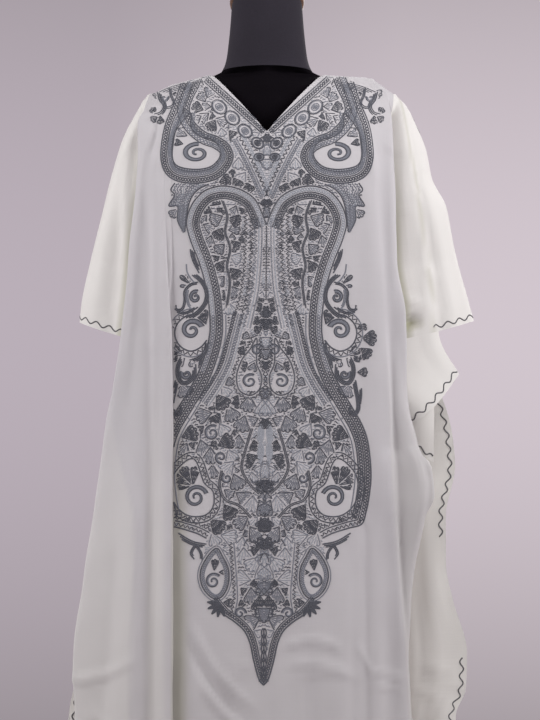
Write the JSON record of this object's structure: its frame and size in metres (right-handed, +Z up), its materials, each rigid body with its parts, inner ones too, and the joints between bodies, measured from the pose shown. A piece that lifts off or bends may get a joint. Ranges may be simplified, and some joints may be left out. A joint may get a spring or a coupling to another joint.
{
  "type": "kaftan on a dress form",
  "caption": "Long poncho-cut kaftan with V-neck, sewn-in sleeves and open side wings, draped on a limbless dress form on a round stand.",
  "frame": {"origin": "middle of the stand base's underside, on the floor", "axes": "+Z up, -Y the way the garment's front faces, +X towards the viewer's right"},
  "size_m": [0.6575, 0.38, 1.5749],
  "materials": {
    "cream_cloth": "matte woven wool-and-silk cloth with a faint sheen",
    "black_jersey": "matte stretched jersey",
    "charcoal_cover": "matte woven cover",
    "turned_wood": "satin varnish",
    "black_steel": "satin black"
  },
  "bodies": {
    "root": {"front_panel": "cream_cloth", "back_panel": "cream_cloth", "left_sleeve": "cream_cloth", "right_sleeve": "cream_cloth", "left_wing_front": "cream_cloth", "left_wing_back": "cream_cloth", "right_wing_front": "cream_cloth", "right_wing_back": "cream_cloth", "right_cascade_upper": "cream_cloth", "right_cascade_lower": "cream_cloth", "form_torso": "black_jersey", "form_neck": "charcoal_cover", "neck_cap": "turned_wood", "form_pole": "black_steel", "stand_base": "black_steel"}
  },
  "joints": []
}
